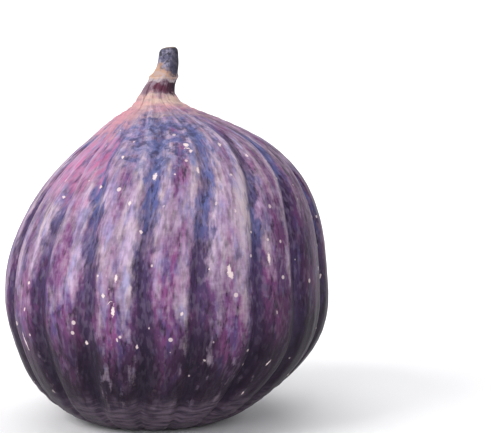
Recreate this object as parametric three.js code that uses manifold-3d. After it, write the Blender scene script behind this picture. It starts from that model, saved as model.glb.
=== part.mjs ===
// A fresh fig: one round, ribbed fruit that stands on a flat ring round its eye, with a short
// flared neck and a cut stem. Millimetres, +Z up. The origin is on the surface that it stands
// on, under the middle of the fruit. The side seen first faces -Y.
import * as THREE from "three";
import { mergeVertices } from "three/addons/utils/BufferGeometryUtils.js";
import Module from "manifold-3d";

// The fruit, from its eye to the cut end of its stem
const BELLY_RADIUS = 26.4;
const BELLY_HEIGHT = 20.4;
const REST_RADIUS = 9;
const EYE_RADIUS = 3.4;
const EYE_DEPTH = 1.6;
const SHOULDER_HEIGHT = 36.5;
const NECK_RADIUS = 5.8;
const NECK_HEIGHT = 51;
const STEM_RADIUS = 2.5;
const STEM_FOOT = 54.6;
const CUT_RADIUS = 1.55;
const FULL_HEIGHT = 61.5;

// How far the middle of the fruit lies to the right of its axis: under the foot, at the shoulder
// and at the neck. The stem bends back to the right.
const FOOT_SHIFT = -2.2;
const SHOULDER_SHIFT = 1.6;
const NECK_SHIFT = -3.55;
const STEM_LEAN = 2.15;

// The ribs and the grooves between them, which run from the eye to the neck. A rib has one column
// of points in its groove, one on each flank and one on its crown.
const RIBS = 18;
const COLUMN_SHARES = [0, 0.17, 0.5, 0.83];
const FIRST_GROOVE = -69;
const GROOVE_UNEVENNESS = 1.2;
const GROOVE_WANDER = 1.1;
const SHOULDER_SPREAD = 7;
const WIDE_RIB_GROOVE = 2;
const WIDE_RIB_SPREAD = 6;
const GROOVE_DEPTH = 0.7;
const GROOVE_SHARE = 0.24;
const CREASE_DEPTH = 0.3;
const CREASE_SHARE = COLUMN_SHARES[1];
const RIB_CROWN = 0.3;

// The bract scar round the stem, and the three worn bracts under it
const SCAR_HEIGHT = 56.5;
const SCAR_SWELL = 0.28;
const BRACT_HEIGHT = 55.1;
const BRACT_ANGLE = -20;
const BRACT_SWELL = 0.42;
const BRACTS = 3;
const STEM_RIDGE = 0.1;
const CUT_SLANT = 0.15;

// The scales that close the eye: an outer ring and an inner one
const SCALE_RINGS = [
  { count: 8, reach: 2.5, tilt: 22, length: 2.5, width: 2.1, rise: 1.0 },
  { count: 5, reach: 1.25, tilt: 30, length: 1.9, width: 1.7, rise: 1.1 },
];
const SCALE_THICKNESS = 0.55;
const SCALE_ROLL = 14;

const COLOURS = { skin: 0x6d5077 };
const FLAT_SIDE = 115;
const TURN = 360;

const radians = THREE.MathUtils.degToRad;
const smoothstep = THREE.MathUtils.smoothstep;
const bell = (distance, width) => Math.exp(-((distance / width) ** 2));

// The outline of half the fruit: a chain of curves from the middle of the eye, down to the flat
// ring, out round the belly, over the shoulder and up to the cut face. Each row has its radius,
// its height and the direction that faces out of the fruit there.
function figProfile() {
  const at = (radius, height) => new THREE.Vector2(radius, height);
  const curve = (steps, ...ends) => ({ steps, line: new THREE.CubicBezierCurve(...ends) });
  const eyeFloor = at(0, EYE_DEPTH);
  const eyeLip = at(EYE_RADIUS, 0);
  const restEdge = at(REST_RADIUS, 0);
  const belly = at(BELLY_RADIUS, BELLY_HEIGHT);
  const neck = at(NECK_RADIUS, NECK_HEIGHT);
  const stemFoot = at(STEM_RADIUS, STEM_FOOT);
  const stemTop = at(CUT_RADIUS, FULL_HEIGHT - 1.2);
  const cutMiddle = at(0, FULL_HEIGHT - 0.1);
  const chain = [
    curve(6, eyeFloor, at(2.6, EYE_DEPTH), at(2.3, 0), eyeLip),
    curve(3, eyeLip, at(5, 0), at(7, 0), restEdge),
    curve(11, restEdge, at(17.2, 0), at(BELLY_RADIUS, 11.8), belly),
    curve(14, belly, at(BELLY_RADIUS, SHOULDER_HEIGHT), at(18.2, 45.5), neck),
    curve(7, neck, at(4.3, 51.75), at(2.95, 52.8), stemFoot),
    curve(11, stemFoot, at(2.15, 56.3), at(1.65, 58), stemTop),
    curve(5, stemTop, at(1.5, FULL_HEIGHT - 0.4), at(1.05, FULL_HEIGHT), cutMiddle),
  ];
  const rows = [];
  for (const { steps, line } of chain) {
    for (let step = rows.length ? 1 : 0; step <= steps; step += 1) {
      const { x: radius, y: height } = line.getPoint(step / steps);
      const along = line.getTangent(step / steps);
      rows.push({ radius, height, out: at(along.y, -along.x) });
    }
  }
  return rows;
}

// Where the middle of the fruit lies at a height: it sits left at the foot, swells right at the
// shoulder, turns back left at the neck, and the stem bends right and a little back.
function spineAt(height) {
  const foot = FOOT_SHIFT * (1 - smoothstep(height, 0, 16));
  const shoulder = SHOULDER_SHIFT * smoothstep(height, 24, 43);
  const neck = NECK_SHIFT * smoothstep(height, 45, STEM_FOOT);
  const lean = STEM_LEAN * smoothstep(height, 52, 59.5);
  return new THREE.Vector2(foot + shoulder + neck + lean, 0.15 * neck + 0.3 * lean);
}

// The angle of a groove, in degrees from the front and growing to the right. The grooves are
// not quite evenly spaced, and each wanders a little on its way up. Over the shoulder they
// spread away from the front and the back, and the one beside the widest rib spreads further.
function grooveAngle(groove, height) {
  const even = FIRST_GROOVE + (TURN / RIBS) * groove;
  const uneven = GROOVE_UNEVENNESS * Math.cos(radians(50 * (groove - 1.6)));
  const wander = GROOVE_WANDER * Math.sin(height / 9 + 2.3 * groove) * smoothstep(height, 2, 14);
  const spread = SHOULDER_SPREAD * Math.sin(radians(2 * even)) * smoothstep(height, 34, 47);
  const further = groove === WIDE_RIB_GROOVE ? WIDE_RIB_SPREAD * smoothstep(height, 22, 44) : 0;
  return even + uneven + wander + spread - further;
}

// How far the skin stands out from the smooth form, at a share of the way from one groove to
// the next. Ribs are fullest at the belly and fine on the neck. Under the fruit the grooves are
// narrow creases that run in across the flat ring to the eye, and the ring stays flat between them.
function ribRelief(rib, share, { radius, height }) {
  const nearer = Math.min(share, 1 - share);
  const grown = smoothstep(height, 0.2, 10);
  const onNeck = smoothstep(height, 38, 52);
  const onStem = smoothstep(height, 53, 58);
  const deepness = GROOVE_DEPTH * (1 + 0.25 * Math.sin(2.9 * rib));
  const groove = deepness * (1 - smoothstep(nearer, 0, GROOVE_SHARE));
  const crown = RIB_CROWN * (4 * share * (1 - share));
  const outsideEye = smoothstep(radius, EYE_RADIUS + 0.6, EYE_RADIUS + 2.6);
  const crease = CREASE_DEPTH * outsideEye * (1 - smoothstep(nearer, 0, CREASE_SHARE));
  return grown * (1 - 0.8 * onNeck) * (1 - onStem) * (crown - groove) - (1 - grown) * crease;
}

// The stem has low ridges, a raised scar ring and three worn bracts under it. Its cut end is plain.
function stemRelief(angle, { height, out }) {
  const ridges = STEM_RIDGE * Math.cos(radians(5 * angle)) * smoothstep(height, 54, 57);
  const ring = SCAR_SWELL * bell(height - SCAR_HEIGHT, 0.4);
  const facing = Math.max(0, Math.cos(radians((BRACTS / 2) * (angle - BRACT_ANGLE)))) ** 4;
  const bracts = BRACT_SWELL * facing * bell(height - BRACT_HEIGHT, 0.75);
  return Math.max(0, out.x) * (ridges + ring + bracts);
}

// The fruit is not quite round: it is a little wider one way, and has a soft flat on one side.
function lobes(angle, height) {
  const oval = -0.006 * Math.cos(radians(2 * angle + 20));
  const offFlat = ((angle + 540 - FLAT_SIDE) % TURN) - 180;
  return 1 + oval - 0.02 * bell(offFlat, 40) * bell(height - 25, 16);
}

// A point of the skin, for a column of the lathe and a row of the profile.
function skinPoint(column, row) {
  const { radius, height, out } = row;
  const rib = Math.floor(column / COLUMN_SHARES.length);
  const share = COLUMN_SHARES[column % COLUMN_SHARES.length];
  const next = rib + 1 < RIBS ? grooveAngle(rib + 1, height) : grooveAngle(0, height) + TURN;
  const angle = THREE.MathUtils.lerp(grooveAngle(rib, height), next, share);
  const room = smoothstep(radius, 0.2, 1.6);
  const relief = room * (ribRelief(rib, share, row) + stemRelief(angle, row));
  const reach = radius * lobes(angle, height) + relief * out.x;
  const middle = spineAt(height);
  const turn = radians(angle - 90);
  const across = reach * Math.cos(turn);
  const slant = CUT_SLANT * across * smoothstep(height, 57.5, FULL_HEIGHT - 0.4);
  return [middle.x + across, middle.y + reach * Math.sin(turn), height + relief * out.y + slant];
}

const wasm = await Module();
wasm.setup();

// A closed three.js geometry as a solid that can be joined.
function solidFrom(geometry) {
  const bare = geometry.clone();
  bare.deleteAttribute("normal");
  bare.deleteAttribute("uv");
  const merged = mergeVertices(bare, 1e-4);
  return new wasm.Manifold(
    new wasm.Mesh({
      numProp: 3,
      vertProperties: new Float32Array(merged.attributes.position.array),
      triVerts: new Uint32Array(merged.index.array),
    }),
  );
}

function geometryFrom(solid) {
  const { vertProperties, triVerts } = solid.getMesh();
  const geometry = new THREE.BufferGeometry();
  geometry.setAttribute("position", new THREE.BufferAttribute(vertProperties, 3));
  geometry.setIndex(new THREE.BufferAttribute(triVerts, 1));
  geometry.computeVertexNormals();
  return geometry;
}

// The largest piece of a solid. A hollow sealed by joining is a piece of its own, and goes.
function wholeBody(solid) {
  const pieces = solid.decompose();
  return pieces.reduce((best, piece) => (piece.volume() > best.volume() ? piece : best));
}

// The skin is a lathe whose points are then moved to where the ribs, grooves and stem put them.
function figBody() {
  const rows = figProfile();
  const columns = RIBS * COLUMN_SHARES.length;
  const outline = rows.map(({ radius, height }) => new THREE.Vector2(radius, height));
  const skin = new THREE.LatheGeometry(outline, columns);
  for (let column = 0; column <= columns; column += 1) {
    rows.forEach((row, n) => {
      const vertex = column * rows.length + n;
      skin.attributes.position.setXYZ(vertex, ...skinPoint(column % columns, row));
    });
  }
  return skin;
}

// One ring of scales in the eye. Each is a flat tongue whose root is sunk in the wall of the
// eye. Its tip leans in and down to the middle, and one long edge overlaps its neighbour. The
// rings stand round the middle of the fruit's foot.
function eyeScales({ count, reach, tilt, length, width, rise }) {
  const foot = spineAt(0);
  const scales = [];
  for (let n = 0; n < count; n += 1) {
    const scale = new THREE.SphereGeometry(0.5, 8, 5);
    scale.scale(length, width, SCALE_THICKNESS);
    scale.rotateX(radians(SCALE_ROLL));
    scale.rotateY(radians(-tilt));
    scale.translate(reach, 0, rise);
    scale.rotateZ(radians((TURN / count) * (n + 0.12 * Math.sin(4.1 * n)) + 7 * count));
    scale.translate(foot.x, foot.y, 0);
    scales.push(solidFrom(scale));
  }
  return scales;
}

let fruit = solidFrom(figBody());
for (const ring of SCALE_RINGS) {
  for (const scale of eyeScales(ring)) fruit = fruit.add(scale);
}
const figGeometry = geometryFrom(wholeBody(fruit));

// The origin is set under the middle of the fruit's own box.
figGeometry.computeBoundingBox();
const middle = figGeometry.boundingBox.getCenter(new THREE.Vector3());
figGeometry.translate(-middle.x, -middle.y, 0);

const fig = new THREE.Mesh(
  figGeometry,
  new THREE.MeshStandardMaterial({ color: COLOURS.skin, roughness: 0.5, metalness: 0 }),
);
fig.name = "fig";

const part = new THREE.Group();
part.add(fig);
export default part;
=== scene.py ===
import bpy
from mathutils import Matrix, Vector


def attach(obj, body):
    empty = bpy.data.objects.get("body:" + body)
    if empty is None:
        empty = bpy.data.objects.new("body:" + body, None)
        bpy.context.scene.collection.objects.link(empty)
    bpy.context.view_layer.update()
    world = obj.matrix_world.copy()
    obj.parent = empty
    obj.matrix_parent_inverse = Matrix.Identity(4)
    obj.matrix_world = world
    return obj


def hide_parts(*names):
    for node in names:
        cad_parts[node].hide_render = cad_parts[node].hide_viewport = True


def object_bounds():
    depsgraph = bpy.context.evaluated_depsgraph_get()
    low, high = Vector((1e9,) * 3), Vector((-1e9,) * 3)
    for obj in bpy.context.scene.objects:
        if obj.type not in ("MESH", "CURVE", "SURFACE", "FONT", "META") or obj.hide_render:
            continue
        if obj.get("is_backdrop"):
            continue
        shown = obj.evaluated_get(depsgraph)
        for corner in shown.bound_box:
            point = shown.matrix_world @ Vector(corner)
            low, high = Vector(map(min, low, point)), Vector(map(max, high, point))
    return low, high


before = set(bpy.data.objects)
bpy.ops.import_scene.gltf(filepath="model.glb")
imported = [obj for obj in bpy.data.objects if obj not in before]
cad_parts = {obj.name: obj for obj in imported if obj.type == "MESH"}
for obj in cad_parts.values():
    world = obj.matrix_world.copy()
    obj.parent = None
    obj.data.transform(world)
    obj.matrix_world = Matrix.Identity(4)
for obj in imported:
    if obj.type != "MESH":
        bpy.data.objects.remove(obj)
cad_low, cad_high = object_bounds()
print("CAD box in mm:", [round(1000 * side, 2) for side in cad_high - cad_low])

# %% [markdown]
# # A fresh fig
# A ripe dark fig is a soft purse of skin. It hangs from a short stem, its neck is pleated, ribs
# run down its body, and under it a small eye is closed by scales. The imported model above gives
# its true size and its main shape. This lesson dresses it in three steps: the same outline is
# drawn again much finer, the fine forms are pressed into it, and the finish is painted with
# nodes. All lengths are in millimetres until the very end.

# %% Tools for the whole lesson
import math

import bmesh
import bpy
import numpy as np
from mathutils import Matrix, Vector, noise
from mathutils.bvhtree import BVHTree
from mathutils.geometry import interpolate_bezier

MM = 0.001
TURN = 360
rng = np.random.default_rng(18)


def smoothstep(value, low, high):
    """0 below low, 1 above high, and a soft S between them."""
    share = np.clip((value - low) / (high - low), 0.0, 1.0)
    return share * share * (3 - 2 * share)


def bell(distance, width):
    """1 at no distance, fading to nothing at about twice the width."""
    return np.exp(-((distance / width) ** 2))


print("halfway up the soft step:", smoothstep(0.5, 0, 1))

# %% [markdown]
# ## The camera
# The picture that we match was taken from just above the level of the fruit, with a long lens,
# because the shoulder is foreshortened and the underside just shows. The fruit stands left of
# the picture's middle, so the camera looks past it to the right, as a photographer's would.
# Making the camera first lets later steps ask what it sees.

# %% Set up the camera
PICTURE = (493, 433)
LENS_PIXELS = 1242.0
CAMERA_HEIGHT_DEGREES = 4.7
CAMERA_DISTANCE = 206.5
AIM_ACROSS = 13.2
AIM_UP = 2.7

fruit_middle = (cad_low + cad_high) / 2 / MM
rise = math.radians(CAMERA_HEIGHT_DEGREES)
towards_camera = Vector((0, -math.cos(rise), math.sin(rise)))
camera_spot = fruit_middle + CAMERA_DISTANCE * towards_camera
aim = fruit_middle + Vector((AIM_ACROSS, AIM_UP * math.sin(rise), AIM_UP * math.cos(rise)))

camera = bpy.data.objects.new("camera", bpy.data.cameras.new("camera"))
bpy.context.scene.collection.objects.link(camera)
bpy.context.scene.camera = camera
camera.data.sensor_width = 36.0
camera.data.lens = LENS_PIXELS / PICTURE[0] * camera.data.sensor_width
camera.data.clip_start = 0.01
camera.location = camera_spot * MM
camera.rotation_euler = (aim - camera_spot).to_track_quat("-Z", "Y").to_euler()
bpy.context.view_layer.update()


def sight_line(across, down):
    """The camera's spot and the direction in which it sees a pixel of the picture."""
    turn = camera.matrix_world.to_quaternion()
    flat = Vector((across - PICTURE[0] / 2, PICTURE[1] / 2 - down, -LENS_PIXELS))
    return camera_spot, turn @ flat.normalized()


print("lens in mm:", round(camera.data.lens, 1))

# %% [markdown]
# ## A pale studio
# The fruit stands in a shallow dish of pale paper: a round floor that curves up into a wall, so
# that every side view has the same quiet ground and no edge. Its outline is one chain of points
# spun round the fruit.

# %% Spin the paper dish
DISH_RADIUS = 0.75
DISH_BEND = 0.45
DISH_TOP = 1.0

paper = bmesh.new()
bend = [math.radians(15 * step) for step in range(7)]
chain = [(0.0, 0.0)]
chain += [
    (DISH_RADIUS + DISH_BEND * math.sin(angle), DISH_BEND * (1 - math.cos(angle)))
    for angle in bend
]
chain += [(DISH_RADIUS + DISH_BEND, DISH_TOP)]
corners = [paper.verts.new((out, 0, up)) for out, up in chain]
folds = [paper.edges.new(pair) for pair in zip(corners, corners[1:])]
full_turn = {"cent": (0, 0, 0), "axis": (0, 0, 1), "angle": math.tau, "use_merge": True}
bmesh.ops.spin(paper, geom=corners + folds, steps=72, **full_turn)
bmesh.ops.remove_doubles(paper, verts=paper.verts, dist=1e-5)
bmesh.ops.recalc_face_normals(paper, faces=paper.faces)
for face in paper.faces:
    face.smooth = True
dish_mesh = bpy.data.meshes.new("paper_dish")
paper.to_mesh(dish_mesh)
paper.free()
dish = bpy.data.objects.new("paper_dish", dish_mesh)
bpy.context.scene.collection.objects.link(dish)
dish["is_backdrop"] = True
print("dish:", len(dish_mesh.polygons), "faces")

# %% [markdown]
# ## Soft light
# A wide lamp hangs overhead, a soft key lamp stands to the left, a weaker one in front, and one
# lights only the paper behind. The pale world fills the shadows, so the right side of the fruit
# and its underside fall off softly.

# %% Light the studio
PAPER_WHITE = (0.88, 0.88, 0.89, 1.0)
WORLD_STRENGTH = 0.30

card = bpy.data.materials.new("paper")
card.use_nodes = True
card.node_tree.nodes["Principled BSDF"].inputs["Base Color"].default_value = PAPER_WHITE
card.node_tree.nodes["Principled BSDF"].inputs["Roughness"].default_value = 0.9
dish_mesh.materials.append(card)

world = bpy.data.worlds.new("studio")
world.use_nodes = True
world.node_tree.nodes["Background"].inputs["Color"].default_value = (1.0, 1.0, 1.0, 1.0)
world.node_tree.nodes["Background"].inputs["Strength"].default_value = WORLD_STRENGTH
bpy.context.scene.world = world
bpy.context.scene.view_settings.view_transform = "Standard"


def hang_lamp(name, spot, aimed_at, size, watts, tint):
    """A square soft lamp, hung at one spot and aimed at another, both in metres."""
    lamp = bpy.data.objects.new(name, bpy.data.lights.new(name, "AREA"))
    lamp.data.size = size
    lamp.data.energy = watts
    lamp.data.color = tint
    lamp.location = spot
    lamp.rotation_euler = (Vector(aimed_at) - Vector(spot)).to_track_quat("-Z", "Y").to_euler()
    bpy.context.scene.collection.objects.link(lamp)


hang_lamp("overhead", (0, 0, 1.1), (0, 0, 0), 1.1, 6.8, (1.0, 1.0, 1.0))
hang_lamp("key", (-0.40, -0.28, 0.40), (0, 0, 0.03), 0.30, 2.2, (1.0, 0.98, 0.96))
hang_lamp("front", (-0.16, -0.58, 0.28), (0, 0, 0.03), 0.30, 1.2, (0.97, 0.98, 1.0))
hang_lamp("backdrop", (0.0, 0.30, 0.60), (0, 1.2, 0.20), 0.8, 6.0, (1.0, 1.0, 1.0))

# %% [markdown]
# ## The outline of half the fruit
# Cut a fig from stem to eye and the cut has one smooth edge. It starts in the hollow of the eye,
# goes over the flat ring that the fruit stands on, round the belly, over the shoulder, and up
# the stem to its cut end. Seven Bezier curves draw it, with the same knots and handles as the
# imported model, and more points where the form is small.

# %% Draw the outline
EYE_RADIUS = 3.4
EYE_DEPTH = 1.6
REST_RADIUS = 9.0
BELLY = (26.4, 20.4)
NECK = (5.8, 51.0)
STEM_FOOT = (2.5, 54.6)
FULL_HEIGHT = 61.5
STEM_TOP = (1.55, FULL_HEIGHT - 1.2)

curves = [
    ((0, EYE_DEPTH), (2.6, EYE_DEPTH), (2.3, 0), (EYE_RADIUS, 0), 20),
    ((EYE_RADIUS, 0), (5, 0), (7, 0), (REST_RADIUS, 0), 13),
    ((REST_RADIUS, 0), (17.2, 0), (BELLY[0], 11.8), BELLY, 68),
    (BELLY, (BELLY[0], 36.5), (18.2, 45.5), NECK, 84),
    (NECK, (4.3, 51.75), (2.95, 52.8), STEM_FOOT, 30),
    (STEM_FOOT, (2.15, 56.3), (1.65, 58), STEM_TOP, 36),
    (STEM_TOP, (1.5, FULL_HEIGHT - 0.4), (1.05, FULL_HEIGHT), (0, FULL_HEIGHT - 0.1), 16),
]
outline = []
for *knots, points in curves:
    ends = [Vector((radius, 0, height)) for radius, height in knots]
    outline += interpolate_bezier(*ends, points)[1 if outline else 0 :]
print("points in the outline:", len(outline))

# %% [markdown]
# ## Spin it into a skin
# A fruit grows round its stem, so the outline is spun one full turn. The spin makes the quads
# and joins its last column to its first. Only the two ends, which lie on the axis, have to be
# merged. Each point carries its distance along the outline, which the paint will need later.

# %% Spin the outline
COLUMNS = 360

shell = bmesh.new()
distance_layer = shell.verts.layers.float.new("along")
corners = [shell.verts.new(point) for point in outline]
travelled = 0.0
for before, corner in zip([corners[0]] + corners, corners):
    travelled += (corner.co - before.co).length
    corner[distance_layer] = travelled
edges = [shell.edges.new(pair) for pair in zip(corners, corners[1:])]
bmesh.ops.spin(shell, geom=corners + edges, steps=COLUMNS, **full_turn)
bmesh.ops.remove_doubles(shell, verts=shell.verts, dist=1e-4)
bmesh.ops.recalc_face_normals(shell, faces=shell.faces)
for face in shell.faces:
    face.smooth = True
skin_mesh = bpy.data.meshes.new("fig_skin")
shell.to_mesh(skin_mesh)
shell.free()
print("skin:", len(skin_mesh.vertices), "vertices, outline of", round(travelled, 1), "mm")

# %% [markdown]
# ## Read the smooth form
# Before anything is moved, every vertex knows where it is on the smooth fruit: its radius, its
# height, its column, and which way is out. From its column comes its rib, and its share of the
# way from one groove to the next. The grooves aren't quite evenly spaced, and each wanders.
# Over the shoulder they spread away from the front and the back.

# %% Find each vertex's rib
RIBS = 18
FIRST_GROOVE = -69
GROOVE_UNEVENNESS = 1.2
GROOVE_WANDER = 1.1
SHOULDER_SPREAD = 7
WIDE_RIB_GROOVE = 2
WIDE_RIB_SPREAD = 6


def read(collection, name, width):
    """One property of every item of a mesh, as rows of numbers."""
    flat = np.empty(len(collection) * width)
    collection.foreach_get(name, flat)
    return flat.reshape(-1, width)


smooth_spots = read(skin_mesh.vertices, "co", 3)
outward = read(skin_mesh.vertex_normals, "vector", 3)
along = read(skin_mesh.attributes["along"].data, "value", 1)[:, 0]
radius = np.hypot(smooth_spots[:, 0], smooth_spots[:, 1])
height = smooth_spots[:, 2]
bearing = np.arctan2(smooth_spots[:, 0], -smooth_spots[:, 1])
out_sideways = outward[:, 0] * np.sin(bearing) - outward[:, 1] * np.cos(bearing)
out_up = outward[:, 2]

column = np.rint(np.degrees(bearing)).astype(int) % COLUMNS
rib = column // (COLUMNS // RIBS)
share = (column % (COLUMNS // RIBS)) / (COLUMNS / RIBS)
nearer = np.minimum(share, 1 - share)


def groove_angle(groove):
    """Where a groove runs at each vertex's height, in degrees from the front, growing right."""
    even = FIRST_GROOVE + TURN / RIBS * groove
    number = groove % RIBS
    uneven = GROOVE_UNEVENNESS * np.cos(np.radians(50 * (number - 1.6)))
    wander = GROOVE_WANDER * np.sin(height / 9 + 2.3 * number) * smoothstep(height, 2, 14)
    spread = SHOULDER_SPREAD * np.sin(np.radians(2 * even)) * smoothstep(height, 34, 47)
    further = WIDE_RIB_SPREAD * (number == WIDE_RIB_GROOVE) * smoothstep(height, 22, 44)
    return even + uneven + wander + spread - further


angle = groove_angle(rib) * (1 - share) + groove_angle(rib + 1) * share
at_belly = np.abs(height - BELLY[1]) < 0.2
print("grooves at the belly, degrees:", np.unique(np.rint(angle[at_belly & (share == 0)])))

# %% [markdown]
# ## Press in the ribs
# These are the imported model's own forms: full ribs at the belly that become fine pleats on the
# neck, narrow creases that run in under the fruit, the ridged stem with its scar ring, and the
# three worn bracts below it. Every form is a distance along the outward direction.

# %% Work out the main relief
GROOVE_DEPTH = 0.7
CREASE_DEPTH = 0.3
RIB_CROWN = 0.3
SCAR_HEIGHT = 56.5
BRACT_HEIGHT = 55.1
BRACT_ANGLE = -20

grown = smoothstep(height, 0.2, 10)
on_neck = smoothstep(height, 38, 52)
on_stem = smoothstep(height, 53, 58)
groove_press = GROOVE_DEPTH * (1 + 0.25 * np.sin(2.9 * rib)) * (1 - smoothstep(nearer, 0, 0.24))
crown_swell = RIB_CROWN * 4 * share * (1 - share)
past_eye = smoothstep(radius, EYE_RADIUS + 0.6, EYE_RADIUS + 2.6)
crease_press = CREASE_DEPTH * past_eye * (1 - smoothstep(nearer, 0, 0.17))
ribs = grown * (1 - 0.8 * on_neck) * (1 - on_stem) * (crown_swell - groove_press)
ribs -= (1 - grown) * crease_press

ridges = 0.1 * np.cos(np.radians(5 * angle)) * smoothstep(height, 54, 57)
scar_ring = 0.28 * bell(height - SCAR_HEIGHT, 0.4)
facing = np.maximum(0, np.cos(np.radians(1.5 * (angle - BRACT_ANGLE)))) ** 4
bracts = 0.42 * facing * bell(height - BRACT_HEIGHT, 0.75)
stem = np.maximum(0, out_sideways) * (ridges + scar_ring + bracts)

room = smoothstep(radius, 0.2, 1.6)
relief = room * (ribs + stem)
print("main relief, mm:", round(relief.min(), 2), "to", round(relief.max(), 2))

# %% [markdown]
# ## Add what a frame is too coarse for
# Up close the skin has finer forms: secondary pleats along each rib, a hair-thin wrinkling,
# soft dents where the fruit has lain, and folds round the neck. Noise gives them, read from
# coordinates that are wrapped round the fruit, so that the pattern follows the ribs and has no
# seam. It is stretched along the ribs by dividing its length.

# %% Press in pleats, wrinkles and dents
wrap = np.radians(angle)
fibre = np.column_stack([BELLY[0] * np.sin(wrap), -BELLY[0] * np.cos(wrap), along])


def skin_noise(across, lengthwise, seed):
    """Noise from about -1 to 1, with patches this many mm across and along the ribs."""
    stretched = fibre / (across, across, lengthwise) + seed
    return np.array([noise.noise(spot) for spot in stretched.tolist()])


between = smoothstep(nearer, 0.02, 0.2)
pleats = 0.20 * skin_noise(2.3, 26, 3.1) * between
hairs = 0.07 * skin_noise(0.9, 9, 11.7)
dents = 0.32 * skin_noise(11, 15, 25.2)
pores = 0.035 * skin_noise(0.8, 1.1, 41.9)
fine = grown * (1 - on_stem) * (pleats + hairs + dents * (1 - on_neck) + pores)

fold_wave = np.sin(math.tau * (along / 1.5 + 0.7 * skin_noise(5, 4, 57.3)))
folds = 0.06 * fold_wave * smoothstep(height, 47, 50) * (1 - smoothstep(height, 53, 55))
under_wave = np.sin(math.tau * (along / 2.1 + 0.9 * skin_noise(7, 5, 63.0)))
under_folds = 0.07 * under_wave * smoothstep(height, 0.3, 2) * (1 - smoothstep(height, 5, 9))
bark = 0.05 * skin_noise(2.6, 1.4, 77.1) * on_stem * np.maximum(0, out_sideways)
relief += room * (fine + folds + under_folds + bark)
print("whole relief, mm:", round(relief.min(), 2), "to", round(relief.max(), 2))

# %% [markdown]
# ## Move the skin
# A real fruit isn't quite round, and its neck isn't over its eye. The skin is set out from a
# bent middle line, slightly oval, with a soft flat on one side, and its cut end slants. Last it
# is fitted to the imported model's box, to which it was already within a few tenths of a mm.

# %% Shape the skin and fit it to the box
FOOT_SHIFT = -2.2
SHOULDER_SHIFT = 1.6
NECK_SHIFT = -3.55
STEM_LEAN = 2.15
OVALNESS = 0.006
FLAT_SIDE = 115
FLATNESS = 0.02
CUT_SLANT = 0.15

foot_shift = FOOT_SHIFT * (1 - smoothstep(height, 0, 16))
shoulder_shift = SHOULDER_SHIFT * smoothstep(height, 24, 43)
neck_shift = NECK_SHIFT * smoothstep(height, 45, STEM_FOOT[1])
lean = STEM_LEAN * smoothstep(height, 52, 59.5)
middle_across = foot_shift + shoulder_shift + neck_shift + lean
middle_back = 0.15 * neck_shift + 0.3 * lean
oval = -OVALNESS * np.cos(np.radians(2 * angle + 20))
off_flat = (angle + 540 - FLAT_SIDE) % TURN - 180
lobes = 1 + oval - FLATNESS * bell(off_flat, 40) * bell(height - 25, 16)

reach = radius * lobes + relief * out_sideways
across = reach * np.sin(wrap)
slant = CUT_SLANT * across * smoothstep(height, 57.5, FULL_HEIGHT - 0.4)
shaped = np.column_stack(
    [middle_across + across, middle_back - reach * np.cos(wrap), height + relief * out_up + slant]
)
shaped[:, 2] = np.maximum(shaped[:, 2], 0.0)

box_low = np.array(cad_low) / MM
box_high = np.array(cad_high) / MM
own_low = shaped.min(axis=0)
own_high = shaped.max(axis=0)
fit = (box_high - box_low) / (own_high - own_low)
shaped = box_low + (shaped - own_low) * fit
print("fit to the box:", np.round(fit, 4))

# %% [markdown]
# ## Lenticels
# The cream specks on a fig are lenticels, the pores through which it breathes. They are small,
# slightly raised, longer than wide, and scattered. The ones that the picture shows plainly are
# placed by looking along the camera's line of sight, until it meets the skin.

# %% Place the lenticels that show
# Pixels across and down the picture, then the speck's width and length in mm, and its lean.
SEEN_SPECKS = [
    (155, 177, 0.75, 1.4, 5),
    (186, 145, 0.9, 1.0, 60),
    (191, 151, 0.6, 0.8, 0),
    (229, 269, 0.7, 1.5, -8),
    (231, 275, 0.9, 1.1, -30),
    (113, 311, 0.6, 1.9, 5),
    (269, 258, 0.5, 1.9, 0),
    (198, 170, 0.5, 1.2, -5),
    (26, 342, 0.5, 3.0, -14),
    (116, 278, 0.4, 1.2, 0),
    (103, 296, 0.5, 0.7, 0),
    (130, 203, 0.5, 0.8, 0),
    (123, 157, 0.5, 0.7, 0),
    (101, 187, 0.6, 0.6, 0),
    (141, 232, 0.5, 0.6, 0),
    (137, 347, 0.4, 0.7, 0),
    (268, 363, 0.35, 1.5, 32),
    (87, 343, 0.4, 0.7, 0),
    (182, 314, 0.5, 0.6, 0),
    (251, 232, 0.35, 0.4, 0),
    (64, 197, 0.4, 0.5, 0),
    (29, 283, 0.5, 0.6, 0),
]

faces = [tuple(polygon.vertices) for polygon in skin_mesh.polygons]
tree_of_faces = BVHTree.FromPolygons([Vector(spot) for spot in shaped], faces)


def seen_spot(across, down):
    """Where the camera's line of sight through a pixel meets the skin."""
    spot, _, _, _ = tree_of_faces.ray_cast(*sight_line(across, down))
    return np.array(spot)


specks = [(seen_spot(across, down), *size, 1.0) for across, down, *size in SEEN_SPECKS]
print("lenticels that show:", len(specks))

# %% [markdown]
# ## The other lenticels
# The rest are strewn over the whole fruit, from a seeded generator. They keep some room from
# each other, and nearly all are small, with a large one here and there.

# %% Strew the other lenticels
STREWN_SPECKS = 150
SPECK_ROOM = 2.6

open_skin = np.flatnonzero((height > 6) & (height < 51.5))
chance = radius[open_skin] / radius[open_skin].sum()
for vertex in rng.choice(open_skin, STREWN_SPECKS, replace=False, p=chance):
    if min(np.linalg.norm(shaped[vertex] - spot) for spot, *_ in specks) < SPECK_ROOM:
        continue
    width = 0.22 + 0.16 * rng.random() + 0.45 * rng.random() ** 9
    stretch = 1.2 + 1.3 * rng.random() ** 2
    strength = 0.35 + 0.65 * rng.random()
    specks.append((shaped[vertex], width, width * stretch, rng.normal(0, 12), strength))
print("lenticels in all:", len(specks))

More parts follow.
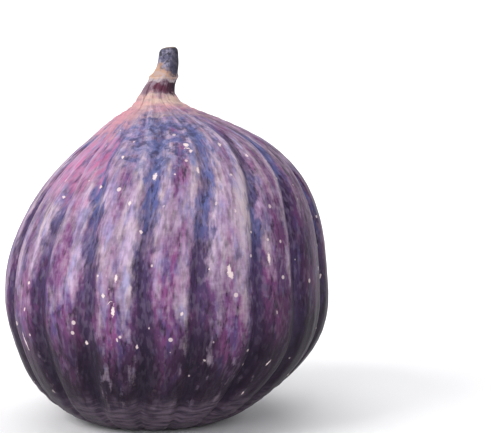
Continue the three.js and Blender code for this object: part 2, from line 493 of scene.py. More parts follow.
# %% [markdown]
# ## A crisp speck on a coarse mesh
# Most lenticels are smaller than one face of the mesh, so a vertex doesn't keep whether it is in
# a speck. It keeps its place in the speck's own frame, from -1 to 1 across and along it. Between
# vertices that place is exact, and the paint can draw a crisp edge from it. A ring of vertices
# further out has the place but no strength, so that no false speck shows where two frames meet.

# %% Give each vertex its place in a lenticel
SPECK_RISE = 0.06
SPECK_INSIDE = 0.8
SPECK_RING = 1.6
FAR_AWAY = 9.0

speck_place = np.tile([FAR_AWAY, FAR_AWAY, 0.0], (len(shaped), 1))
nearest = np.full(len(shaped), np.inf)
upright = np.array([0.0, 0.0, 1.0])
turned_out = np.column_stack([np.sin(wrap) * out_sideways, -np.cos(wrap) * out_sideways, out_up])
for spot, width, length, lean_angle, strength in specks:
    away = np.linalg.norm(shaped - spot, axis=1)
    near = np.flatnonzero((away < length / 2 + SPECK_RING) & (away < nearest))
    nearest[near] = away[near]
    out = turned_out[near].mean(axis=0)
    round_way = np.cross(upright, out)
    round_way /= np.linalg.norm(round_way) + 1e-9
    up_way = np.cross(out, round_way)
    turned = math.radians(lean_angle)
    beside = round_way * math.cos(turned) - up_way * math.sin(turned)
    ahead = round_way * math.sin(turned) + up_way * math.cos(turned)
    offset = shaped[near] - spot
    speck_place[near, 0] = offset @ beside / (width / 2)
    speck_place[near, 1] = offset @ ahead / (length / 2)
    speck_place[near, 2] = strength * (away[near] < length / 2 + SPECK_INSIDE)
depth = 1 - np.hypot(speck_place[:, 0], speck_place[:, 1])
raised = SPECK_RISE * smoothstep(depth, -0.3, 0.5)
shaped += turned_out * (raised * grown * (1 - on_stem))[:, None]
shaped = np.clip(shaped, box_low, box_high)
print("vertices near a lenticel:", np.count_nonzero(speck_place[:, 2]))

# %% [markdown]
# ## Store what the paint needs
# Five things for each vertex go with the mesh: how near it is to a groove, how pale its rib is,
# the strip along each rib's right flank where wax gathers, its place in a lenticel, and the
# wrapped coordinates that streaks follow. They belong to the skin, so the paint stays put from
# every side.

# %% Write the mesh and its attributes
FLANK_SHARE = 0.77
FLANK_WIDTH = 0.085


def keep(mesh, name, values):
    """Stores one number, or one vector, for each vertex of a mesh."""
    kind, field = ("FLOAT", "value") if values.ndim == 1 else ("FLOAT_VECTOR", "vector")
    layer = mesh.attributes.new(name, kind, "POINT")
    layer.data.foreach_set(field, values.astype(np.float32).ravel())


skin_mesh.vertices.foreach_set("co", (shaped * MM).ravel())
keep(skin_mesh, "groove_gap", nearer)
keep(skin_mesh, "rib_tone", np.sin(2.9 * rib + 2.05) * between)
keep(skin_mesh, "waxy_flank", bell(share - FLANK_SHARE, FLANK_WIDTH))
keep(skin_mesh, "speck_place", speck_place)
keep(skin_mesh, "fibre", fibre)
skin_mesh.update()
skin = bpy.data.objects.new("fig_skin", skin_mesh)
bpy.context.scene.collection.objects.link(skin)
print("attributes:", [layer.name for layer in skin_mesh.attributes])

# %% [markdown]
# ## The scales of the eye
# The eye is the fruit's only door, and two rings of small leaf-like scales close it. Each scale
# is a ball pressed into a flat tongue, drawn to a point at its inner end and bent, then tilted
# so that its tip leans in and down. They overlap like roof tiles, because each is rolled about
# its own length.

# %% Make the eye's scales
# Each ring's count, distance from the middle in mm, tilt in degrees, then length, width and lift.
SCALE_RINGS = [
    (8, 2.5, 22, 2.5, 2.1, 1.25),
    (5, 1.25, 30, 1.9, 1.7, 1.35),
]
SCALE_THICKNESS = 0.45
SCALE_ROLL = 14

eye = bmesh.new()
tip_layer = eye.verts.layers.float.new("tip")
tone_layer = eye.verts.layers.float.new("scale_tone")
eye_middle = Vector((*(box_low - own_low)[:2], 0)) + Vector((foot_shift.min(), 0, 0))
for count, out_from_middle, tilt, length, width, lift in SCALE_RINGS:
    for number in range(count):
        ball = bmesh.ops.create_uvsphere(eye, u_segments=24, v_segments=14, radius=0.5)["verts"]
        tone = rng.random()
        for vertex in ball:
            tip = 0.5 - vertex.co.x
            point = 1 - 0.55 * smoothstep(tip, 0.45, 1.0)
            ripple = 0.05 * noise.noise(Vector((9 * vertex.co.x, 9 * vertex.co.y, 7 * tone)))
            vertex[tip_layer] = tip
            vertex[tone_layer] = tone
            vertex.co.z = SCALE_THICKNESS * vertex.co.z - 0.5 * tip * tip + ripple
            vertex.co.x *= length
            vertex.co.y *= width * point
        place = number + 0.12 * math.sin(4.1 * number)
        round_turn = math.radians(TURN / count * place + 7 * count)
        set_out = (
            Matrix.Translation(eye_middle)
            @ Matrix.Rotation(round_turn, 4, "Z")
            @ Matrix.Translation((out_from_middle, 0, lift))
            @ Matrix.Rotation(math.radians(-tilt), 4, "Y")
            @ Matrix.Rotation(math.radians(SCALE_ROLL), 4, "X")
        )
        bmesh.ops.transform(eye, matrix=set_out, verts=ball)
for face in eye.faces:
    face.smooth = True
bmesh.ops.scale(eye, verts=eye.verts, vec=(MM, MM, MM))
scale_mesh = bpy.data.meshes.new("eye_scales")
eye.to_mesh(scale_mesh)
eye.free()
scales = bpy.data.objects.new("eye_scales", scale_mesh)
bpy.context.scene.collection.objects.link(scales)
lowest = min(vertex.co.z for vertex in scale_mesh.vertices) / MM
print("lowest scale point, mm above the floor:", round(lowest, 2))

# %% [markdown]
# ## Helpers for painting
# A node tree is easier to read as short sentences. `put` adds a node and fills its sockets,
# `fade` is a soft step, and `blend` lays one colour over another. `calc` is one sum, and `times`
# and `plus` are the two sums that the paint needs most.

# %% Define the paint helpers


def fill(tree, node, sockets):
    """Links what comes from another node, and types in anything else."""
    for name, value in sockets.items():
        if isinstance(value, bpy.types.NodeSocket):
            tree.links.new(value, node.inputs[name])
        else:
            node.inputs[name].default_value = value


def put(tree, kind, sockets, **settings):
    """Adds a node with its settings, and fills its sockets."""
    node = tree.nodes.new("ShaderNode" + kind)
    for name, value in settings.items():
        setattr(node, name, value)
    fill(tree, node, sockets)
    return node


def calc(tree, operation, first, second=0.0, clamp=False):
    """One sum of two values."""
    sockets = {0: first, 1: second}
    return put(tree, "Math", sockets, operation=operation, use_clamp=clamp).outputs[0]


def times(tree, first, second):
    """The product of two values."""
    return calc(tree, "MULTIPLY", first, second)


def plus(tree, total, value, amount):
    """A total, with an amount of a value added."""
    return calc(tree, "ADD", total, times(tree, value, amount))


def fade(tree, value, start, end, low=0.0, high=1.0):
    """low before start, high past end, and a smooth step between."""
    sockets = {"Value": value, "From Min": start, "From Max": end, "To Min": low, "To Max": high}
    return put(tree, "MapRange", sockets, interpolation_type="SMOOTHSTEP").outputs["Result"]


def blend(tree, amount, under, over):
    """One colour laid over another by an amount from 0 to 1."""
    sockets = {0: amount, 6: under, 7: over}
    return put(tree, "Mix", sockets, data_type="RGBA").outputs[2]


def stored(tree, name, output="Fac"):
    """What the mesh keeps under a name."""
    return put(tree, "Attribute", {}, attribute_name=name).outputs[output]


def colour(red, green, blue):
    """A pigment, from how much red, green and blue light it sends back."""
    return (red, green, blue, 1.0)


print("black as a socket wants it:", colour(0, 0, 0))

# %% [markdown]
# ## Helpers for groups
# A node group is a small tree with named inputs and outputs, built once and used in many places
# with other values. One helper makes an empty group, and the other places it in a tree.

# %% Define the group helpers
FLOAT = "NodeSocketFloat"
VECTOR = "NodeSocketVector"


def new_group(name, inputs, outputs):
    """An empty node group with named sockets, and its two end nodes."""
    group = bpy.data.node_groups.new(name, "ShaderNodeTree")
    for label, kind, value in inputs:
        socket = group.interface.new_socket(label, in_out="INPUT", socket_type=kind)
        if value is not None:
            socket.default_value = value
    for label, kind in outputs:
        group.interface.new_socket(label, in_out="OUTPUT", socket_type=kind)
    return group, group.nodes.new("NodeGroupInput"), group.nodes.new("NodeGroupOutput")


def use_group(tree, group, sockets):
    """Places a group in a tree, and fills its sockets."""
    node = tree.nodes.new("ShaderNodeGroup")
    node.node_tree = group
    fill(tree, node, sockets)
    return node.outputs


print("sockets for groups:", FLOAT, "and", VECTOR)

# %% [markdown]
# ## Fibres, a group
# Everything on a fig runs from stem to eye: its colour comes in long thin streaks. The skin, the
# stem and the scales all have them, at different widths, so they are a node group. It divides
# its coordinates by a width and a length and reads noise there.

# %% Build the fibre group
fibres, given, result = new_group(
    "Fibres",
    [
        ("Vector", VECTOR, None),
        ("Width", FLOAT, 1.0),
        ("Length", FLOAT, 8.0),
        ("Seed", FLOAT, 0.0),
        ("Detail", FLOAT, 3.0),
    ],
    [("Streak", FLOAT)],
)
pitch = put(fibres, "CombineXYZ", {0: given.outputs[1], 1: given.outputs[1], 2: given.outputs[2]})
divide = {0: given.outputs[0], 1: pitch.outputs[0]}
shrunk = put(fibres, "VectorMath", divide, operation="DIVIDE").outputs[0]
shift = {0: shrunk, 1: given.outputs["Seed"]}
shifted = put(fibres, "VectorMath", shift, operation="ADD").outputs[0]
noise_sockets = {"Vector": shifted, "Scale": 1.0, "Roughness": 0.6}
grain = put(fibres, "TexNoise", {**noise_sockets, "Detail": given.outputs["Detail"]})
contrast = fade(fibres, grain.outputs[0], 0.25, 0.75)
fibres.links.new(contrast, result.inputs["Streak"])
print("fibre group:", len(fibres.nodes), "nodes")

# %% [markdown]
# ## Specks, a group
# Besides the large lenticels there are hundreds of pale pinprick specks. A Voronoi pattern gives
# each cell a middle and a random colour; only some cells get a speck, and its size varies.

# %% Build the speck group
specks_group, given, result = new_group(
    "Pinprick specks",
    [
        ("Vector", VECTOR, None),
        ("Spacing", FLOAT, 2.0),
        ("Size", FLOAT, 0.12),
        ("Share", FLOAT, 0.5),
    ],
    [("Mask", FLOAT)],
)
inverse = calc(specks_group, "DIVIDE", 1.0, given.outputs["Spacing"])
cells = put(specks_group, "TexVoronoi", {"Vector": given.outputs["Vector"], "Scale": inverse})
random_red = put(specks_group, "SeparateColor", {0: cells.outputs["Color"]})
own_size = times(specks_group, given.outputs["Size"], random_red.outputs[1])
gap = calc(specks_group, "SUBTRACT", cells.outputs["Distance"], own_size)
dot = fade(specks_group, gap, 0.03, -0.01)
chosen = calc(specks_group, "LESS_THAN", random_red.outputs[0], given.outputs["Share"])
specks_group.links.new(times(specks_group, dot, chosen), result.inputs["Mask"])
print("speck group:", len(specks_group.nodes), "nodes")

# %% [markdown]
# ## The skin's paint, from the inside out
# Under everything is the pigment: dark aubergine, violet and wine in long streaks. Over it lies
# the bloom, a whitish wax that turns it lilac and grey. It is thick beside the grooves, thin in
# them, and sparse low on the fruit. The darker lower part is partly the riper skin's own look
# and partly painted shade, and the darker right side is painted shade. Then come the places
# with a colour of their own: blue below the neck, a magenta blush, the salmon crest, the banded
# stem and the star round the eye.

# %% Start the skin's paint
skin_paint = bpy.data.materials.new("fig_skin")
skin_paint.use_nodes = True
tree = skin_paint.node_tree
shader = tree.nodes["Principled BSDF"]

place = put(tree, "TexCoord", {}).outputs["Object"]
spot = put(tree, "VectorMath", {0: place, "Scale": 1000.0}, operation="SCALE").outputs[0]
split = put(tree, "SeparateXYZ", {0: spot})
level = split.outputs["Z"]
sideways = split.outputs["X"]
lengthwise = stored(tree, "fibre", "Vector")
groove_gap = stored(tree, "groove_gap")


def streaks(width, length, seed, detail=3.0):
    """Streaks along the ribs, this many mm wide and long."""
    sockets = {"Vector": lengthwise, "Width": width, "Length": length}
    return use_group(tree, fibres, {**sockets, "Seed": seed, "Detail": detail})["Streak"]


def clouds(size, seed, detail=3.0):
    """Soft blotches about this many mm across."""
    sockets = {"Vector": spot, "Width": size, "Length": size}
    return use_group(tree, fibres, {**sockets, "Seed": seed, "Detail": detail})["Streak"]


print("nodes at the start:", len(tree.nodes))

# %% [markdown]
# ## Pigment
# Violet and magenta share the ribs, with short indigo and wine-dark flecks through both. Low on
# the fruit the pigment deepens to aubergine: first in the grooves and on the right side, last on
# the crowns of the ribs. Low down this is partly the riper skin's own colour and partly painted
# shade. The far right of the fruit is darker all the way up: painted shade on the side turned
# from the light, which also lifts the low darkening higher on the right.

# %% Mix the pigment
VIOLET = colour(0.095, 0.042, 0.125)
MAGENTA = colour(0.200, 0.055, 0.170)
INDIGO = colour(0.070, 0.055, 0.170)
WINE = colour(0.030, 0.013, 0.036)
AUBERGINE = colour(0.007, 0.003, 0.010)

pigment = blend(tree, streaks(3.0, 8, 1.3, 2.0), VIOLET, MAGENTA)
indigo_flecks = fade(tree, streaks(1.6, 4.5, 3.4, 2.0), 0.5, 0.9, 0.0, 0.7)
pigment = blend(tree, indigo_flecks, pigment, INDIGO)
wine_flecks = fade(tree, streaks(0.8, 2.4, 5.1, 2.0), 0.5, 0.95, 0.0, 0.9)
pigment = blend(tree, wine_flecks, pigment, WINE)
low_edge = plus(tree, level, streaks(5, 8, 8.2, 2.0), 6.0)
low_edge = calc(tree, "ADD", low_edge, fade(tree, groove_gap, 0.1, 0.4, -2.2, 2.2))
# Painted shade: the dark low part reaches higher on the right, the side turned from the light.
low_edge = calc(tree, "SUBTRACT", low_edge, fade(tree, sideways, 9.0, 24.0, 0.0, 9.5))
# Darker low down: partly the riper skin's own colour, partly painted shade for the lower part.
low_dark_and_shade = fade(tree, low_edge, 27.0, 13.0, 0.0, 0.96)
pigment = blend(tree, low_dark_and_shade, pigment, AUBERGINE)
# Painted shade: the right side is darkened towards aubergine all the way up.
painted_shade_right = fade(tree, sideways, 9.0, 26.5, 0.0, 0.55)
pigment = blend(tree, painted_shade_right, pigment, AUBERGINE)
print("nodes with the pigment:", len(tree.nodes))

# %% [markdown]
# ## The colour of the bloom
# Bloom is a thin wax, and what lies under it tints it. It is lilac-grey, warmer in some places
# and bluer in others, so three colours are mixed with streaks.

# %% Mix the bloom
LILAC_BLOOM = colour(0.430, 0.320, 0.480)
WARM_BLOOM = colour(0.450, 0.365, 0.400)
BLUE_BLOOM = colour(0.270, 0.265, 0.480)

bloom_colour = blend(tree, streaks(2.2, 6, 12.4, 2.0), LILAC_BLOOM, WARM_BLOOM)
blue_streaks = fade(tree, streaks(1.5, 4, 14.9, 2.0), 0.55, 0.95, 0.0, 0.7)
bloom_colour = blend(tree, blue_streaks, bloom_colour, BLUE_BLOOM)
print("nodes with the bloom's colour:", len(tree.nodes))

# %% [markdown]
# ## The cover of the bloom
# How much wax covers the pigment is a sum. The base depends on height and thins low on the
# fruit, partly as the riper skin's own look and partly as painted shade. Less is left at both
# sides, least on the right, where the loss is painted shade on the side turned from the light.
# Strips beside the grooves and the right flank of each rib have more, and worn crowns have less.
# Three sizes of fleck, each about two and a half times as long as it is wide, break it up, and
# short cross strokes give the skin its woven look. Low on the fruit only thin streaks of it are
# left, fewer towards the right, as painted shade.

# %% Lay on the bloom
FLECKS = [(2.4, 7.0, 17.7, 0.52), (1.0, 2.6, 19.3, 0.44), (0.5, 1.2, 21.1, 0.18)]
CROSS_STROKES = (1.3, 0.5, 22.6, 0.15)

# The bloom thins low on the fruit: partly the riper skin's own look, partly painted shade.
cover = fade(tree, low_edge, 16.0, 34.0, -0.42, 0.40)
# Painted shade: the bloom thins on the right, the side turned from the light.
cover = calc(tree, "SUBTRACT", cover, fade(tree, sideways, 12.0, 26.5, 0.0, 0.68))
cover = calc(tree, "SUBTRACT", cover, fade(tree, sideways, -12.0, -26.5, 0.0, 0.22))
low_streaks = fade(tree, streaks(1.3, 7, 24.4, 2.0), 0.10, 1.0, 0.0, 0.38)
# Painted shade: the low streaks of bloom thin out towards the right.
low_streaks = times(tree, low_streaks, fade(tree, sideways, 2.0, 18.0, 1.0, 0.45))
cover = plus(tree, cover, low_streaks, low_dark_and_shade)
strip_inside = fade(tree, groove_gap, 0.13, 0.21)
strip = times(tree, strip_inside, fade(tree, groove_gap, 0.42, 0.27, 0.0, 0.16))
cover = calc(tree, "ADD", cover, strip)
cover = calc(tree, "SUBTRACT", cover, fade(tree, groove_gap, 0.30, 0.46, 0.0, 0.12))
cover = plus(tree, cover, stored(tree, "rib_tone"), 0.09)
flank_share = fade(tree, streaks(7, 16, 25.7, 1.0), 0.15, 0.65, 0.10, 0.42)
waxy_flank = times(tree, stored(tree, "waxy_flank"), flank_share)
cover = plus(tree, cover, waxy_flank, fade(tree, low_edge, 12, 24))
for width, length, seed, amount in FLECKS + [CROSS_STROKES]:
    fleck = calc(tree, "SUBTRACT", streaks(width, length, seed, 2.0), 0.5)
    cover = plus(tree, cover, fleck, amount)
blotches = calc(tree, "SUBTRACT", clouds(5.0, 23.8), 0.5)
cover = calc(tree, "ADD", cover, times(tree, blotches, 0.28), clamp=True)
painted = blend(tree, cover, pigment, bloom_colour)
print("nodes with the bloom laid on:", len(tree.nodes))

# %% [markdown]
# ## Grooves
# In the grooves the wax is thin and the skin looks dark: violet-black low down, and blue in the
# upper half. The black low down is partly the riper skin's colour and partly painted shade. The
# edge of each dark band is broken by the flecks.

# %% Darken the grooves
GROOVE_DARK = colour(0.046, 0.026, 0.078)
GROOVE_BLUE = colour(0.070, 0.088, 0.240)
GROOVE_BLACK = colour(0.011, 0.006, 0.018)

broken = times(tree, calc(tree, "SUBTRACT", streaks(1.0, 3.0, 29.5), 0.5), 0.20)
ragged_gap = calc(tree, "ADD", groove_gap, broken)
come_and_go = fade(tree, streaks(1.8, 5, 31.0, 2.0), 0.15, 0.55, 0.68)
in_groove = times(tree, fade(tree, ragged_gap, 0.22, 0.07), come_and_go)
upper = fade(tree, level, 24.0, 40.0)
blue_here = times(tree, upper, fade(tree, streaks(7, 18, 33.0, 1.0), 0.3, 0.6))
# Blacker grooves low down: partly the riper skin's own colour, partly painted shade.
groove_low = fade(tree, level, 26.0, 12.0)
groove_flecks = fade(tree, streaks(0.6, 2.0, 34.6), 0.5, 0.9, 0.0, 0.8)
groove_colour = blend(tree, blue_here, GROOVE_DARK, GROOVE_BLUE)
groove_black = calc(tree, "MAXIMUM", groove_low, groove_flecks)
groove_colour = blend(tree, groove_black, groove_colour, GROOVE_BLACK)
groove_strength = fade(tree, level, 52.0, 46.0, 0.2, 0.95)
in_groove = times(tree, in_groove, groove_strength)
painted = blend(tree, in_groove, painted, groove_colour)
print("nodes with the grooves:", len(tree.nodes))

# %% [markdown]
# ## Fine grain
# Up close, tiny dry fibres and tiny dark ones grain the skin. Two last layers of short streaks
# give that: a pale one, mostly on the upper half, and a wine-dark one everywhere.

# %% Grain everything finely
PALE_GRAIN = colour(0.400, 0.330, 0.450)

pale_grain = fade(tree, streaks(0.6, 1.5, 35.2, 1.0), 0.4, 0.95, 0.0, 0.14)
pale_grain = times(tree, pale_grain, fade(tree, low_edge, 8.0, 28.0, 0.08))
painted = blend(tree, pale_grain, painted, PALE_GRAIN)
dark_grain = fade(tree, streaks(0.6, 1.6, 36.6, 1.0), 0.4, 0.95, 0.0, 0.28)
painted = blend(tree, dark_grain, painted, WINE)
print("nodes with the grain:", len(tree.nodes))

# %% [markdown]
# ## Places with a colour of their own
# A patch is a soft ball in space: inside it the colour changes, and noise breaks its edge. The
# camera's line of sight finds where each one lies on the skin. There are three: a mottled blue
# one under the neck, a strip of pale wax beside a groove, and a magenta blush on the left.

# %% Paint the patches
BLUE_PATCH = colour(0.078, 0.100, 0.250)
GREY_BLUE = colour(0.290, 0.260, 0.400)
NAVY = colour(0.040, 0.035, 0.090)
BLUSH = colour(0.460, 0.095, 0.230)
PALE_BLUSH = colour(0.360, 0.240, 0.370)
# The size of the blotches in mm, seed, start and end of their edge, most cover, and colour.
BLUE_BLOTCHES = [
    (1.7, 39.9, 0.10, 0.80, 0.80, BLUE_PATCH),
    (1.1, 40.6, 0.45, 0.95, 0.50, GREY_BLUE),
    (1.2, 41.2, 0.40, 0.95, 0.80, NAVY),
]


def patch(centre, sizes, edge_noise, softness):
    """1 in the middle of a ball of these half sizes in mm, and 0 outside it."""
    away = put(tree, "VectorMath", {0: spot, 1: centre}, operation="SUBTRACT").outputs[0]
    shrunk = put(tree, "VectorMath", {0: away, 1: sizes}, operation="DIVIDE").outputs[0]
    far = put(tree, "VectorMath", {0: shrunk}, operation="LENGTH").outputs["Value"]
    ragged = plus(tree, far, edge_noise, 0.8)
    return fade(tree, ragged, 1.4 + softness / 2, 1.4 - softness / 2)


blue_mask = patch(seen_spot(160, 138), (8, 8, 6.5), streaks(2.0, 4, 37.1, 2.0), 0.8)
for size, seed, start, end, most, tint in BLUE_BLOTCHES:
    share_here = fade(tree, clouds(size, seed), start, end, 0.0, most)
    painted = blend(tree, times(tree, blue_mask, share_here), painted, tint)
wax_mask = patch(seen_spot(243, 205), (1.1, 4, 9), streaks(1.6, 6, 42.6, 2.0), 0.9)
wax_share = fade(tree, streaks(0.8, 3.0, 42.9, 2.0), 0.1, 0.7, 0.2, 0.75)
painted = blend(tree, times(tree, wax_mask, wax_share), painted, WARM_BLOOM)
blush_mask = patch(seen_spot(86, 166), (5, 6, 7), streaks(1.6, 5, 43.7, 2.0), 1.0)
blush = blend(tree, streaks(0.8, 2.4, 45.0, 2.0), PALE_BLUSH, BLUSH)
blush_share = fade(tree, streaks(1.0, 3.0, 46.0, 2.0), 0.1, 0.7, 0.15, 0.85)
painted = blend(tree, times(tree, blush_mask, blush_share), painted, blush)
print("nodes with the patches:", len(tree.nodes))

# %% [markdown]
# ## The crest
# Round the neck the skin is young and has no bloom. Salmon, cream and mauve run round it in
# thin bands, like the folds that grew there. Its lower edge hangs down at both sides, and on the
# left, where it is rosy, it ends in tongues along the ribs.

# %% Paint the crest
SALMON = colour(0.530, 0.270, 0.290)
CREAM = colour(0.500, 0.360, 0.310)
ROSE = colour(0.420, 0.175, 0.260)
GREY_MAUVE = colour(0.240, 0.175, 0.220)
RED_BROWN = colour(0.150, 0.055, 0.075)

ringwise = put(tree, "VectorMath", {0: spot, 1: (0.18, 0.18, 0.75)}, operation="MULTIPLY")
rings = put(tree, "TexNoise", {"Vector": ringwise.outputs[0], "Scale": 1.0, "Detail": 3.0})
bands = rings.outputs[0]
other_rings = put(tree, "TexNoise", {"Vector": ringwise.outputs[0], "Scale": 2.1, "Detail": 2.0})
other_bands = other_rings.outputs[0]
crest = blend(tree, fade(tree, bands, 0.40, 0.65), SALMON, CREAM)
crest = blend(tree, fade(tree, other_bands, 0.45, 0.70, 0.0, 0.6), crest, GREY_MAUVE)
rosy = times(tree, fade(tree, sideways, -2.0, -9.0), fade(tree, bands, 0.3, 0.7, 0.4, 0.9))
crest = blend(tree, rosy, crest, ROSE)
# Painted shade: the crest turns grey-mauve towards the right, the side turned from the light.
crest = blend(tree, fade(tree, sideways, 0.0, 9.0, 0.0, 0.55), crest, GREY_MAUVE)
crest = blend(tree, fade(tree, clouds(1.2, 48.4), 0.45, 0.95, 0.0, 0.45), crest, GREY_MAUVE)
left_reach = fade(tree, sideways, -2.0, -9.0, 0.0, 3.7)
tongues = calc(tree, "SUBTRACT", streaks(2.0, 7, 54.2, 2.0), 0.5)
tongues = times(tree, tongues, fade(tree, sideways, -3.0, -9.0, 0.0, 4.2))
crest_edge = calc(tree, "ADD", calc(tree, "ADD", level, left_reach), tongues)
crest_edge = calc(tree, "ADD", crest_edge, fade(tree, sideways, 2.0, 12.0, 0.0, 1.4))
crest_edge = plus(tree, crest_edge, bands, 3.0)
crest_edge = plus(tree, crest_edge, clouds(1.6, 53.3), 1.5)
painted = blend(tree, fade(tree, crest_edge, 51.9, 54.7), painted, crest)
red_edge = times(tree, fade(tree, crest_edge, 51.7, 52.4), fade(tree, crest_edge, 53.7, 52.9))
red_edge = times(tree, red_edge, fade(tree, sideways, 2.0, 7.0, 0.0, 0.35))
painted = blend(tree, red_edge, painted, RED_BROWN)
print("nodes with the crest:", len(tree.nodes))

# %% [markdown]
# ## The stem
# The stem has a maroon foot, a pale band, an ochre one over the scar ring, and a dark slate top
# that comes lower on the right. Each band is a soft step on the height, and noise added to the
# height makes its edge uneven.

# %% Paint the stem
PALE_STEM = colour(0.370, 0.310, 0.330)
MAROON = colour(0.110, 0.032, 0.058)
OCHRE = colour(0.400, 0.235, 0.155)
SLATE = colour(0.095, 0.092, 0.150)
PALE_SLATE = colour(0.230, 0.215, 0.290)
STEM_BLACK = colour(0.020, 0.016, 0.024)

stem_noise = times(tree, calc(tree, "SUBTRACT", clouds(1.6, 59.0), 0.5), 1.5)
stem_edge = calc(tree, "ADD", level, stem_noise)
painted = blend(tree, fade(tree, stem_edge, 53.2, 54.3), painted, GREY_MAUVE)
maroon_noise = fade(tree, clouds(2.2, 62.4), 0.25, 0.60, 0.15, 1.0)
maroon_noise = times(tree, maroon_noise, fade(tree, sideways, -4.0, -1.8, 0.3))
maroon_here = times(tree, fade(tree, stem_edge, 53.4, 54.3), maroon_noise)
painted = blend(tree, maroon_here, painted, MAROON)
foot_shade = times(tree, fade(tree, sideways, -0.8, 1.0, 0.0, 0.8), maroon_here)
painted = blend(tree, foot_shade, painted, STEM_BLACK)
painted = blend(tree, fade(tree, stem_edge, 55.4, 56.1), painted, PALE_STEM)
ochre_noise = fade(tree, clouds(1.1, 64.6), 0.2, 0.6, 0.4)
ochre_here = times(tree, fade(tree, stem_edge, 56.3, 56.8), ochre_noise)
painted = blend(tree, ochre_here, painted, OCHRE)
slate = blend(tree, fade(tree, clouds(1.0, 67.7), 0.35, 0.8), SLATE, PALE_SLATE)
slate = blend(tree, fade(tree, clouds(0.8, 69.9), 0.5, 0.8, 0.0, 0.8), slate, STEM_BLACK)
shaded_side = fade(tree, sideways, 0.3, 1.6, 0.0, 0.75)
slate = blend(tree, shaded_side, slate, STEM_BLACK)
slate_edge = calc(tree, "ADD", stem_edge, fade(tree, sideways, -3.0, 2.0, -1.5, 1.3))
painted = blend(tree, fade(tree, slate_edge, 57.2, 58.4), painted, slate)
ring_line = times(tree, fade(tree, level, 56.10, 56.25), fade(tree, level, 56.50, 56.35))
painted = blend(tree, times(tree, ring_line, 0.7), painted, CREAM)
print("nodes with the stem:", len(tree.nodes))

# %% [markdown]
# ## The cut end
# Where the stem was cut it has dried brown round a paler pith. The cut is found by its distance
# along the outline, so the paint stays on it however the stem bends.

# %% Paint the cut end of the stem
CUT_DRY = colour(0.23, 0.17, 0.13)
CUT_PITH = colour(0.40, 0.33, 0.25)

rim_along = float(along[height > FULL_HEIGHT - 0.45].min())
end_along = float(along.max())
run = put(tree, "SeparateXYZ", {0: lengthwise}).outputs["Z"]
cut_face = blend(tree, clouds(0.45, 71.3), CUT_DRY, STEM_BLACK)
pith = fade(tree, run, end_along - 0.95, end_along - 0.6)
cut_face = blend(tree, pith, cut_face, CUT_PITH)
painted = blend(tree, fade(tree, run, rim_along, rim_along + 0.25), painted, cut_face)
print("cut face from", round(rim_along, 2), "to", round(end_along, 2), "mm along the outline")

# %% [markdown]
# ## The underside
# Below the belly the skin is bare and dark, with a few pinkish strokes that run round it. Fewer
# strokes on the left leave the lower left darker, as painted shade. The eye sits in a pale lilac
# star, whose rays follow the ribs.

# %% Paint the underside
UNDER_DARK = colour(0.032, 0.022, 0.040)
UNDER_STROKE = colour(0.135, 0.095, 0.135)
STAR = colour(0.30, 0.25, 0.42)
STAR_PINK = colour(0.36, 0.24, 0.34)

stroke_share = fade(tree, streaks(4.5, 0.6, 70.4), 0.15, 1.0)
# Painted shade: fewer strokes towards the left darken the lower left.
stroke_share = times(tree, stroke_share, fade(tree, sideways, -20.0, -4.0, 0.2))
under = blend(tree, stroke_share, UNDER_DARK, UNDER_STROKE)
under_edge = plus(tree, level, streaks(2.5, 6, 71.1), 3.0)
painted = blend(tree, fade(tree, under_edge, 9.5, 5.5, 0.0, 0.9), painted, under)
ray_noise = times(tree, streaks(6.0, 40, 73.5, 1.0), 6.0)
ray_noise = plus(tree, ray_noise, streaks(2.0, 5, 75.0), 3.5)
star_reach = calc(tree, "ADD", run, ray_noise)
star_mask = fade(tree, star_reach, 17.0, 9.0)
star_mask = times(tree, star_mask, fade(tree, groove_gap, 0.0, 0.22, 0.35))
star_mask = times(tree, star_mask, fade(tree, streaks(2.5, 2.0, 76.2), 0.0, 0.6, 0.4))
star = blend(tree, streaks(3.0, 4.0, 77.4), STAR, STAR_PINK)
painted = blend(tree, star_mask, painted, star)
print("nodes with the underside:", len(tree.nodes))

# %% [markdown]
# ## Lenticels, over everything
# The cream specks go on last. The place that each vertex keeps gives the distance from the
# middle of its speck, noise roughens the rim, and the pinprick group adds the smallest ones.

# %% Add the lenticels
LENTICEL = colour(0.66, 0.54, 0.54)

in_speck = put(tree, "SeparateXYZ", {0: stored(tree, "speck_place", "Vector")}).outputs
beside_squared = times(tree, in_speck[0], in_speck[0])
off_middle = calc(tree, "SQRT", plus(tree, beside_squared, in_speck[1], in_speck[1]))
speck_edge = plus(tree, off_middle, clouds(0.35, 79.2), 0.7)
speck_mask = times(tree, fade(tree, speck_edge, 1.45, 0.95), in_speck[2])
pinpricks = use_group(
    tree, specks_group, {"Vector": spot, "Spacing": 2.4, "Size": 0.16, "Share": 0.3}
)["Mask"]
on_body = times(tree, fade(tree, level, 8, 16), fade(tree, level, 53, 51))
pinpricks = times(tree, times(tree, pinpricks, on_body), 0.7)
all_specks = calc(tree, "MAXIMUM", speck_mask, pinpricks)
painted = blend(tree, all_specks, painted, LENTICEL)
tree.links.new(painted, shader.inputs["Base Color"])
print("nodes with the lenticels:", len(tree.nodes))

# %% [markdown]
# ## Gloss and fine relief
# Bare skin is a little glossier than bloom, and neither mirrors much. The finest relief is a
# bump: fibres and pores that are too small for the mesh, and the corky specks.

# %% Set the gloss and the relief
roughness = fade(tree, cover, 0.0, 0.8, 0.45, 0.68)
tree.links.new(roughness, shader.inputs["Roughness"])
shader.inputs["Specular IOR Level"].default_value = 0.12

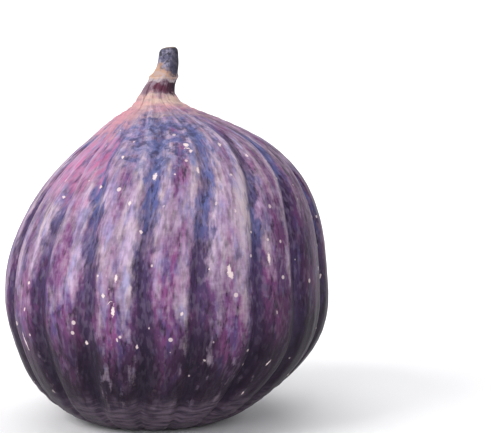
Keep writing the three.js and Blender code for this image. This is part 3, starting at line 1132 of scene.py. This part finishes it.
fibre_height = times(tree, streaks(0.45, 4.0, 83.0), 0.5)
pore_height = times(tree, clouds(0.35, 87.0), 0.4)
rough_height = calc(tree, "ADD", fibre_height, pore_height)
rough_height = plus(tree, rough_height, all_specks, 0.7)
bump = put(tree, "Bump", {"Height": rough_height, "Strength": 0.5, "Distance": 0.00007})
tree.links.new(bump.outputs[0], shader.inputs["Normal"])
skin_mesh.materials.append(skin_paint)
print("nodes in the skin's paint:", len(tree.nodes))

# %% [markdown]
# ## The scales' paint
# Each scale is wine-pink at its root and goes straw and dry towards its tip, and some are
# mauver than others. The same fibre group grains them, at a tenth of the skin's size.

# %% Paint the scales
SCALE_ROOT = colour(0.22, 0.06, 0.12)
SCALE_TIP = colour(0.52, 0.36, 0.30)
SCALE_MAUVE = colour(0.30, 0.20, 0.30)

scale_paint = bpy.data.materials.new("eye_scale")
scale_paint.use_nodes = True
tree = scale_paint.node_tree
shader = tree.nodes["Principled BSDF"]
place = put(tree, "TexCoord", {}).outputs["Object"]
spot = put(tree, "VectorMath", {0: place, "Scale": 1000.0}, operation="SCALE").outputs[0]
grain = use_group(tree, fibres, {"Vector": spot, "Width": 0.35, "Length": 0.35, "Seed": 3.0})
toward_tip = plus(tree, stored(tree, "tip"), grain["Streak"], 0.25)
painted = blend(tree, fade(tree, toward_tip, 0.45, 1.1), SCALE_ROOT, SCALE_TIP)
tone = times(tree, stored(tree, "scale_tone"), 0.45)
painted = blend(tree, tone, painted, SCALE_MAUVE)
tree.links.new(painted, shader.inputs["Base Color"])
roughness = fade(tree, grain["Streak"], 0.0, 1.0, 0.45, 0.65)
tree.links.new(roughness, shader.inputs["Roughness"])
bump = put(tree, "Bump", {"Height": grain["Streak"], "Strength": 0.4, "Distance": 0.00006})
tree.links.new(bump.outputs[0], shader.inputs["Normal"])
scale_mesh.materials.append(scale_paint)
print("nodes in the scales' paint:", len(tree.nodes))

# %% [markdown]
# ## Hand over
# Both pieces stand for the imported fruit and ride on its one body. The two boxes are printed, so
# that the fit can be read.

# %% Tie the pieces to the frame
for piece in (skin, scales):
    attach(piece, "root")
    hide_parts("fig")

own_low, own_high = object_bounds()
print("visual box in mm:", [round(1000 * side, 2) for side in own_high - own_low])
